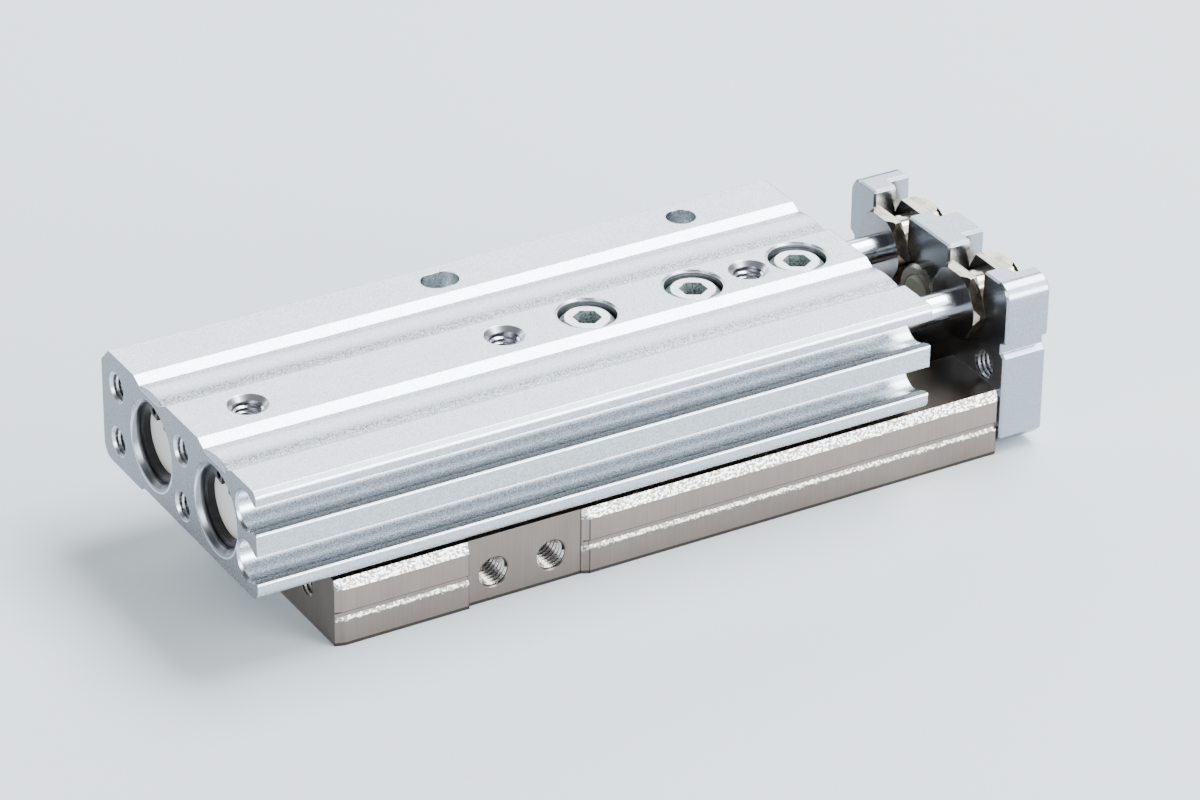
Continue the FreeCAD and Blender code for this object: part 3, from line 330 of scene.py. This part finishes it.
def make_anodised(name, colour, roughness, grain_depth, grain_spread, edge=edge_radius,
                  find_cut=None, painted_shade_across_x=None, find_lips=None):
    """Blasted and anodised aluminium: fine pits that glint or go dull, and
    faint drawing lines along X. Cut places are smooth and bright; the walls of
    holes are ringed with a painted shade and the mouths of bores painted dark as
    shade. Faces milled across X, outside the first two given values, are darkened
    by the third as painted shade. Grooves get painted shade and light, and their
    lips lean up, where find_lips says."""
    material, shader = start_material(name, Metallic=1.0)
    place = object_place(material)
    grain = noise(material, place, 6000.0, 1.0, 0.5)
    lines = noise(material, stretch(material, place, (0.015, 1.0, 1.0)), 4200.0, 2.0)
    clouds = noise(material, place, 260.0, 2.0)
    on_top = over(material, facing(material)[2], 0.8)
    amount = mix_values(material, on_top, grain_spread, 1.7 * grain_spread)
    shade = calculate(material, "MULTIPLY_ADD", spread(material, grain, -1.0, 0.6, 0.43, 0.57),
                      amount, 1.0)
    shade = calculate(material, "MULTIPLY", shade, spread(material, lines, 0.97, 1.02))
    shade = calculate(material, "MULTIPLY", shade, spread(material, clouds, 0.985, 1.01))
    # faces across X outside the given range get a painted shade
    if painted_shade_across_x:
        first, last, darker = painted_shade_across_x
        inner = between(material, split(material, place)[0], first, last)
        shade = calculate(material, "MULTIPLY", shade, mix_values(material, inner, darker, 1.0))
    lean = None
    if find_lips:
        # painted shade and light in the switch grooves
        painted_groove_shading, lean = find_lips(material, place)
        shade = calculate(material, "MULTIPLY", shade, painted_groove_shading)
    paint = tint(material, colour, shade)
    rough = spread(material, grain, roughness - 0.3 * grain_spread, roughness + 0.4 * grain_spread)
    relief = calculate(material, "MULTIPLY_ADD", lines, 0.35, grain)
    if find_cut:
        cut, shaded_walls, shaded_mouths = find_cut(material, place)
        # the walls of holes and the mouths of bores are painted dark as shade
        rings = noise(material, stretch(material, place, (0.02, 0.02, 1.0)), 5000.0, 1.0)
        ringed = tint(material, wall_shade_colour, spread(material, rings, 0.45, 1.8))
        paint = mix_colours(material, cut, paint, cut_colour)
        paint = mix_colours(material, shaded_mouths, paint, mouth_shade_colour)
        paint = mix_colours(material, shaded_walls, paint, ringed)
        rough = mix_values(material, cut, rough, 0.3)
        relief = mix_values(material, cut, relief, 0.5)
    feed(shader.inputs["Base Color"], paint)
    feed(shader.inputs["Roughness"], rough)
    soften_edges(material, shader, edge, relief, grain_depth, 0.6, lean)
    return material


def find_body_cuts(material, place):
    """The tapped holes, the screw seats and the rims of the bores; the walls of
    the taps and seats below their mouths, painted dark as shade; and the mouths
    of the bores, painted dark as shade."""
    x, _, z = split(material, place)
    tops = near_axes(material, place, "Z", top_taps, top_tap_rim)
    seats = near_axes(material, place, "Z", screw_seats, seat_rim)
    ends = near_axes(material, place, "X", end_taps, end_tap_rim)
    bores = near_axes(material, place, "X", bore_rims, bore_rim)
    at_head_end = under(material, x, body_low.x + 1.3 * MM)
    ends = all_of(material, any_of(material, ends, bores), at_head_end)

    top_walls = near_axes(material, place, "Z", top_taps, m3_wall)
    seat_walls = near_axes(material, place, "Z", screw_seats, seat_wall)
    below_top = between(material, z, body_low.z + 2.15 * MM, body_high.z - 0.25 * MM)
    top_walls = all_of(material, any_of(material, top_walls, seat_walls), below_top)
    end_walls = near_axes(material, place, "X", end_taps, m2_5_wall)
    within_end = between(material, x, body_low.x + 0.2 * MM, body_low.x + 5.3 * MM)
    end_walls = all_of(material, end_walls, within_end)

    shaded_mouths = near_axes(material, place, "X", bore_rims, bore_wall)
    shaded_mouths = all_of(material, shaded_mouths, at_head_end)
    return any_of(material, tops, seats, ends), any_of(material, top_walls, end_walls), shaded_mouths


def find_groove_lips(material, place):
    """A painted shade and light for the switch grooves: darker down towards their
    floors, lighter up at their mouths and dark on the lands at the mouths' lower
    edges; and how far the rounded upper edges of their lips lean up."""
    x, y, z = split(material, place)
    near_face = body_low.y + 0.04 * MM
    within = all_of(material, between(material, x, *body_ends),
                    between(material, y, near_face, body_low.y + 4.0 * MM))
    land = between(material, y, near_face, body_low.y + 0.9 * MM)
    painted_groove_shading = 1.0
    for edge in (lower_edge, upper_edge):
        height = calculate(material, "SUBTRACT", z, edge)
        here = all_of(material, within, between(material, height, -0.5 * MM, 1.5 * MM))
        ramp = spread(material, height, 0.6, 1.3, -0.42 * MM, 0.1 * MM)
        on_land = all_of(material, land, between(material, height, -0.03 * MM, 0.03 * MM))
        ramp = mix_values(material, on_land, ramp, 0.14)
        painted_groove_shading = mix_values(material, here, painted_groove_shading, ramp)
    leans = []
    for low, high in lip_rounds:
        leans.append(all_of(material, spread(material, z, 0.0, 0.95, low, high),
                            under(material, z, high + 0.02 * MM)))
    on_face = under(material, y, body_low.y + 0.1 * MM)
    return painted_groove_shading, all_of(material, any_of(material, *leans), on_face)


def dress(names, material):
    """Give carried-over pieces their finish."""
    for name in names:
        mesh = frame["nodes"][name].data
        mesh.materials.clear()
        mesh.materials.append(material)


# the body's end faces get a painted shade of 0.41, and its switch grooves painted shade and light
body_finish = make_anodised("anodised_body", body_colour, 0.27, 0.002 * MM, 0.12,
                            edge=0.13 * MM, find_cut=find_body_cuts, painted_shade_across_x=(*body_ends, 0.41),
                            find_lips=find_groove_lips)
cut_finish = make_anodised("cut_aluminium", cut_colour, 0.24, 0.002 * MM, 0.04)
dress(["cylinder_body"], body_finish)


# Bore ends
# Moulded resin caps close the head end behind black spring rings; turned
# aluminium covers with rod seals close the rod end. The pistons run between
# urethane bumpers and carry magnets for the switches.

def grey(value):
    return (value, value, value, 1.0)


cap_resin, cap_shader = start_material("cap_resin", Base_Color=(0.88, 0.86, 0.80, 1.0),
                                       Roughness=0.36)
soften_edges(cap_resin, cap_shader, edge_radius)
dress(["head_cap_near", "head_cap_far"], cap_resin)

ring_black, ring_shader = start_material("ring_black", Base_Color=grey(0.012), Metallic=0.3,
                                         Roughness=0.34)
soften_edges(ring_black, ring_shader, 0.06 * MM)
dress(["head_snap_rings", "rod_end_snap_rings"], ring_black)

turned_finish = make_anodised("turned_aluminium", (0.62, 0.63, 0.65, 1.0), 0.3, 0.006 * MM, 0.1)
dress(["rod_cover_near", "rod_cover_far", "piston_near", "piston_far"], turned_finish)

seal_rubber, _ = start_material("seal_rubber", Base_Color=grey(0.02), Roughness=0.6)
dress(["bore_end_seals", "rod_seals", "piston_seals"], seal_rubber)

urethane, urethane_shader = start_material("bumper_urethane", Roughness=0.4,
                                           Base_Color=(0.40, 0.39, 0.29, 1.0))
soften_edges(urethane, urethane_shader, 0.1 * MM)
dress(["head_bumpers", "rod_bumpers", "stopper_pad"], urethane)

magnet_black, _ = start_material("magnet_black", Base_Color=grey(0.03), Metallic=0.6,
                                 Roughness=0.5)
dress(["piston_magnets"], magnet_black)


# Linear guide
# A ground steel rail is screwed under the body. Crossed rollers in resin cages
# run between it and the raceways of the table.

def make_ground_steel(name, colour, roughness, grain_depth):
    """Ground steel with fine lines along X."""
    material, shader = start_material(name, Metallic=1.0)
    lines = noise(material, stretch(material, object_place(material), (0.02, 1.0, 1.0)),
                  6000.0, 2.0)
    feed(shader.inputs["Base Color"], tint(material, colour, spread(material, lines, 0.9, 1.05)))
    rough = spread(material, lines, roughness - 0.05, roughness + 0.08)
    feed(shader.inputs["Roughness"], rough)
    soften_edges(material, shader, edge_radius, lines, grain_depth, 0.5)
    return material


rail_steel = make_ground_steel("rail_steel", (0.45, 0.44, 0.43, 1.0), 0.25, 0.003 * MM)
dress(["guide_rail", "cross_rollers_near", "cross_rollers_far"], rail_steel)

cage_resin, _ = start_material("cage_resin", Base_Color=(0.03, 0.035, 0.04, 1.0), Roughness=0.5)
dress(["roller_cage_near", "roller_cage_far"], cage_resin)


# Screws
# Zinc plated socket head cap screws hold the rail and the end plate. Only the
# faces of the heads shine. Their sides and sockets are dull, speckled and
# greenish: a painted shade on the sides, and thread-lock in the sockets.

face_depth = 0.05 * MM
head_tops = screws_high.z - face_depth
head_fronts = corners("plate_screws")[1].x - face_depth
zinc_face = (0.96, 0.97, 0.98, 1.0)
zinc_light, zinc_dark = (0.50, 0.58, 0.56, 1.0), (0.09, 0.11, 0.105, 1.0)


def make_zinc():
    """Bright on the faces of the heads; elsewhere dull and speckled, a painted
    shade on the sides and thread-lock in the sockets.
    """
    material, shader = start_material("screw_zinc")
    place = object_place(material)
    x, _, z = split(material, place)
    speckle = noise(material, place, 5200.0, 3.0, 0.7)
    face = any_of(material, over(material, z, head_tops), over(material, x, head_fronts))
    dull_and_shaded = mix_colours(material, spread(material, speckle, 0.0, 1.0, 0.4, 0.6),
                       zinc_dark, zinc_light)
    feed(shader.inputs["Metallic"], mix_values(material, face, 0.25, 1.0))
    feed(shader.inputs["Base Color"], mix_colours(material, face, dull_and_shaded, zinc_face))
    feed(shader.inputs["Roughness"], mix_values(material, face, 0.45, 0.3))
    soften_edges(material, shader, edge_radius, speckle, 0.01 * MM, 0.4)
    return material


screw_heads = make_zinc()
dress(["rail_screws", "plate_screws"], screw_heads)


# Slide table
# A steel channel with a warm nickel plating. Its sides are ground, with fine
# upright lines, but the bevel along the upper edge and the lower slope of the
# side line keep the rough skin of the rolled bar, with painted glints on its crystals.

table_low, table_high = corners("slide_table")
table_top, bevel_low = table_high.z - 0.02 * MM, table_high.z - 1.15 * MM
line_low, line_high, line_top = 2.6 * MM, 3.0 * MM, 3.5 * MM
foot_high = 0.34 * MM
channel_side, channel_floor = 8.4 * MM, 1.0 * MM
rough_side, pad_side = table_high.y - 0.37 * MM, table_high.y - 0.45 * MM
table_end = table_high.x - 0.05 * MM
side_taps = mount_centres("table_side_holes")
pad_steps, half_step = (-22.65 * MM, -10.45 * MM, -9.65 * MM), 0.07 * MM
ground_colour = (0.375, 0.308, 0.262, 1.0)
# the dark crystals of the rough skin, and the white painted glints between them
glitter_dark, painted_glint_colour = (0.34, 0.29, 0.25, 1.0), (1.0, 0.985, 0.96, 1.0)


def find_rough_skin(material, place):
    """The bevel along the upper edge, and the slope of the side line with a
    wavering border."""
    _, y, z = split(material, place)
    outside = over(material, calculate(material, "ABSOLUTE", y), rough_side)
    bevel = between(material, z, bevel_low, table_top)
    waver = spread(material, noise(material, place, 2600.0, 3.0), -0.16 * MM, 0.16 * MM)
    line = between(material, calculate(material, "ADD", z, waver), line_low, line_high)
    return all_of(material, outside, any_of(material, bevel, line))


def find_painted_shade_and_pads(material, place):
    """Places of the table that are darker than its ground sides, each with its
    shade: painted shade inside the channel, on the sides below the line, along
    the edges at the line and at the foot, on the pads' steps, in the depths of
    the taps and on the rear face; and the milled pads, which are darker too."""
    x, y, z = split(material, place)
    across = calculate(material, "ABSOLUTE", y)
    near = under(material, y, 0.0)
    beside_pads = over(material, across, pad_side + 0.15 * MM)
    on_sides = over(material, across, pad_side - 0.05 * MM)

    inner_top = all_of(material, under(material, across, rough_side),
                       over(material, z, table_top))
    inside = any_of(material, under(material, across, channel_side), inner_top)
    inside = all_of(material, inside,
                    under(material, calculate(material, "ABSOLUTE", x), table_end),
                    over(material, z, channel_floor))
    low = all_of(material, under(material, z, line_low), beside_pads)
    pads = between(material, calculate(material, "MULTIPLY", y, -1.0), pad_side,
                   pad_side + 0.1 * MM)
    line_edge = all_of(material, between(material, z, line_top - 0.05 * MM, line_top + 0.16 * MM),
                       beside_pads)
    foot = all_of(material, under(material, z, foot_high), on_sides)
    steps = [between(material, x, step - half_step, step + half_step) for step in pad_steps]
    steps = all_of(material, any_of(material, *steps), near, on_sides)
    depths = all_of(material, near, near_axes(material, place, "Y", side_taps, m3_wall))
    rear = under(material, x, -table_end)
    return ((inside, 0.5), (low, 0.88), (pads, 0.84), (any_of(material, line_edge, foot), 0.3),
            (steps, 0.4), (depths, 0.16), (rear, 0.92))


def make_nickel_table():
    """Warm ground nickel with the rough skin, whose crystals carry painted glints."""
    material, shader = start_material("nickel_table", Metallic=1.0)
    place = object_place(material)
    rough_skin = find_rough_skin(material, place)
    crystals = noise(material, place, 3600.0, 1.0, 0.4)
    upright_lines = noise(material, stretch(material, place, (1.0, 1.0, 0.03)), 5200.0, 2.0)
    clouds = noise(material, place, 320.0, 3.0)
    ground = tint(material, ground_colour, spread(material, upright_lines, 0.93, 1.04))
    ground = tint(material, ground, spread(material, clouds, 0.95, 1.03))
    # painted shade where less light falls on the table, and the darker milled pads
    for share, darker in find_painted_shade_and_pads(material, place):
        ground = tint(material, ground, mix_values(material, share, 1.0, darker))
    skin_with_painted_glints = mix_colours(material, spread(material, crystals, 0.0, 1.0, 0.47, 0.52),
                          glitter_dark, painted_glint_colour)
    feed(shader.inputs["Base Color"], mix_colours(material, rough_skin, ground, skin_with_painted_glints))
    feed(shader.inputs["Roughness"], mix_values(material, rough_skin, 0.33, 0.27))
    relief = mix_values(material, rough_skin, calculate(material, "MULTIPLY", upright_lines, 0.04),
                        crystals)
    soften_edges(material, shader, edge_radius, relief, 0.04 * MM, 0.8)
    return material


nickel = make_nickel_table()
dress(["slide_table"], nickel)

cut_steel = make_ground_steel("cut_steel", (0.86, 0.80, 0.74, 1.0), 0.24, 0.0)


# End plate
# A milled aluminium plate, anodised like the body but smoother. It is screwed to
# the end of the table and holds the rods in its two open slots. Its inner face
# carries a painted shade.

plate_low, plate_high = corners("end_plate")
plate_faces = (plate_low.x + 0.03 * MM, plate_high.x + 1.0 * MM)
plate_taps = mount_centres("end_plate_holes")
plate_tap_rim = 1.56 * MM
plate_colour = (0.485, 0.515, 0.555, 1.0)


def find_plate_cuts(material, place):
    """The rims of the two tapped holes, and their walls painted dark as shade.
    The plate has no bore with a shaded mouth."""
    rims = near_axes(material, place, "X", plate_taps, plate_tap_rim)
    return rims, near_axes(material, place, "X", plate_taps, m3_wall), 0.0


# the plate's inner face gets a painted shade of 0.66
plate_finish = make_anodised("anodised_plate", plate_colour, 0.24, 0.0, 0.08, edge=0.07 * MM,
                             find_cut=find_plate_cuts, painted_shade_across_x=(*plate_faces, 0.66))
dress(["end_plate"], plate_finish)


# Rods and bushings
# Hard chromed rods end in floating bushings, which flat-sided nuts clamp in the
# slots of the plate. Both are plated with dark nickel, worn where they rub. A
# steel screw with a soft pad, between the rods, stops the table as it closes.

rod_chrome, chrome_shader = start_material("rod_chrome", Base_Color=(0.80, 0.82, 0.86, 1.0),
                                           Metallic=1.0, Roughness=0.19)
soften_edges(rod_chrome, chrome_shader, 0.06 * MM)
dress(["piston_rod_near", "piston_rod_far"], rod_chrome)

turned_colour, end_colour = (0.18, 0.16, 0.135, 1.0), (0.33, 0.33, 0.335, 1.0)
worn_light, worn_dark = (0.58, 0.50, 0.38, 1.0), (0.20, 0.15, 0.11, 1.0)
flat_light, flat_dark = (0.70, 0.65, 0.55, 1.0), (0.50, 0.44, 0.34, 1.0)


def make_bushing_nickel():
    """Brown-black on its turned faces and grey on its ends, worn on the flats at
    its sides, and on the flats that look up streaked and painted lighter as
    painted light."""
    material, shader = start_material("bushing_nickel", Metallic=1.0)
    place = object_place(material)
    x, y, z = facing(material)
    lines = noise(material, stretch(material, place, (0.04, 1.0, 1.0)), 5200.0, 2.0)
    stains = noise(material, place, 900.0, 4.0, 0.6)
    strokes = noise(material, stretch(material, place, (1.0, 0.05, 1.0)), 3600.0, 2.0)
    upward_face = over(material, z, 0.9)
    end_face = over(material, calculate(material, "ABSOLUTE", x), 0.7)
    side_face = over(material, calculate(material, "ABSOLUTE", y), 0.6)
    worn = mix_colours(material, spread(material, stains, 0.0, 1.0, 0.42, 0.58),
                       worn_light, worn_dark)
    painted_lit_flats = mix_colours(material, spread(material, stains, 0.0, 1.0, 0.46, 0.66),
                        flat_light, flat_dark)
    painted_lit_flats = tint(material, painted_lit_flats, spread(material, strokes, 0.72, 1.08, 0.4, 0.6))
    paint = mix_colours(material, end_face, turned_colour, end_colour)
    paint = mix_colours(material, side_face, paint, worn)
    paint = mix_colours(material, upward_face, paint, painted_lit_flats)
    feed(shader.inputs["Base Color"], tint(material, paint, spread(material, lines, 0.85, 1.06)))
    feed(shader.inputs["Roughness"], spread(material, stains, 0.14, 0.24))
    soften_edges(material, shader, edge_radius, lines, 0.004 * MM, 0.5)
    return material


bushing_nickel = make_bushing_nickel()
dress(["float_bushing_near", "float_bushing_far", "bushing_nut_near", "bushing_nut_far"],
      bushing_nickel)

dark_steel = make_ground_steel("dark_steel", (0.30, 0.28, 0.24, 1.0), 0.3, 0.003 * MM)
dress(["stopper_screw"], dark_steel)


# Tapped holes
# Each tapped hole gets the ridge of its thread: a coil of triangular section
# whose base lies on the wall of the hole. One coil is turned for each kind of
# hole and copied to the others.

# widths and pitches of the two threads
m3, m2_5 = (3.0 * MM, 0.5 * MM), (2.5 * MM, 0.45 * MM)
air_ports = mount_centres("head_air_port") + mount_centres("rod_air_port")

# the axis that a coil runs along, which way, and how it is turned for that
runs = {"down": (2, -1, (-math.pi / 2, 0.0, 0.0)),
        "up": (2, 1, (math.pi / 2, 0.0, 0.0)),
        "forwards": (0, 1, (0.0, 0.0, -math.pi / 2)),
        "nearwards": (1, -1, (0.0, 0.0, math.pi)),
        "farwards": (1, 1, (0.0, 0.0, 0.0))}


def turn_thread(width, pitch, length):
    """A closed thread ridge for a hole of that width, from the origin along +Y."""
    depth, base, sunk = 0.44 * pitch, 0.66 * pitch, 0.004 * MM
    bpy.ops.object.select_all(action="DESELECT")
    bpy.ops.mesh.primitive_circle_add(vertices=3, radius=1.0, rotation=(0.0, 0.0, math.pi / 2))
    coil = bpy.context.object
    across, high = depth / 1.5, base / math.sqrt(3)
    coil.scale = (high, across, 1.0)
    coil.location = (width / 2 + sunk - across / 2, base / 2, 0.0)
    bpy.ops.object.transform_apply(location=True, rotation=True, scale=True)
    screw = coil.modifiers.new("turns", "SCREW")
    screw.axis = "Y"
    screw.angle = math.tau
    screw.screw_offset = pitch
    screw.iterations = int((length - base) / pitch)
    screw.steps = screw.render_steps = 32
    screw.use_smooth_shade = False
    bpy.ops.object.modifier_apply(modifier="turns")
    bpy.ops.object.mode_set(mode="EDIT")
    bpy.ops.mesh.select_all(action="SELECT")
    bpy.ops.mesh.fill_holes(sides=3)
    bpy.ops.mesh.normals_make_consistent(inside=False)
    bpy.ops.object.mode_set(mode="OBJECT")
    return coil


def thread_holes(name, centres, run, face, lead_in, thread, length, body, finish):
    """A coil in each hole, which runs in from its lead-in behind the face."""
    way, side, turn = runs[run]
    coils = [turn_thread(*thread, length)]
    for _ in centres[1:]:
        coil = coils[0].copy()
        coil.data = coils[0].data.copy()
        bpy.context.scene.collection.objects.link(coil)
        coils.append(coil)
    bpy.ops.object.select_all(action="DESELECT")
    for coil, centre in zip(coils, centres):
        coil.location = centre
        coil.location[way] = face + side * lead_in
        coil.rotation_euler = turn
        coil.select_set(True)
    bpy.context.view_layer.objects.active = coils[0]
    bpy.ops.object.join()
    threads = bpy.context.object
    threads.name = name
    bpy.ops.object.transform_apply(location=True, rotation=True, scale=True)
    threads.data.materials.append(finish)
    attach(threads, body)


thread_holes("top_tap_threads", top_taps, "down", body_high.z, 0.52 * MM, m3, 4.9 * MM,
             "cylinder", cut_finish)
thread_holes("end_tap_threads", end_taps, "forwards", body_low.x, 0.3 * MM, m2_5, 4.4 * MM,
             "cylinder", cut_finish)
thread_holes("port_threads", air_ports, "nearwards", body_high.y, 0.34 * MM, m3, 4.0 * MM,
             "cylinder", cut_finish)
thread_holes("side_tap_threads", side_taps, "farwards", table_low.y, 0.57 * MM, m3, 4.7 * MM,
             "table", cut_steel)
thread_holes("face_tap_threads", mount_centres("table_holes"), "up", table_low.z, 0.28 * MM, m3,
             4.1 * MM, "table", cut_steel)
thread_holes("rear_tap_threads", mount_centres("table_rear_holes"), "forwards", table_low.x,
             0.05 * MM, m2_5, 6.8 * MM, "table", cut_steel)
thread_holes("plate_tap_threads", plate_taps, "forwards", plate_low.x, 0.05 * MM, m3, 4.9 * MM,
             "table", cut_finish)
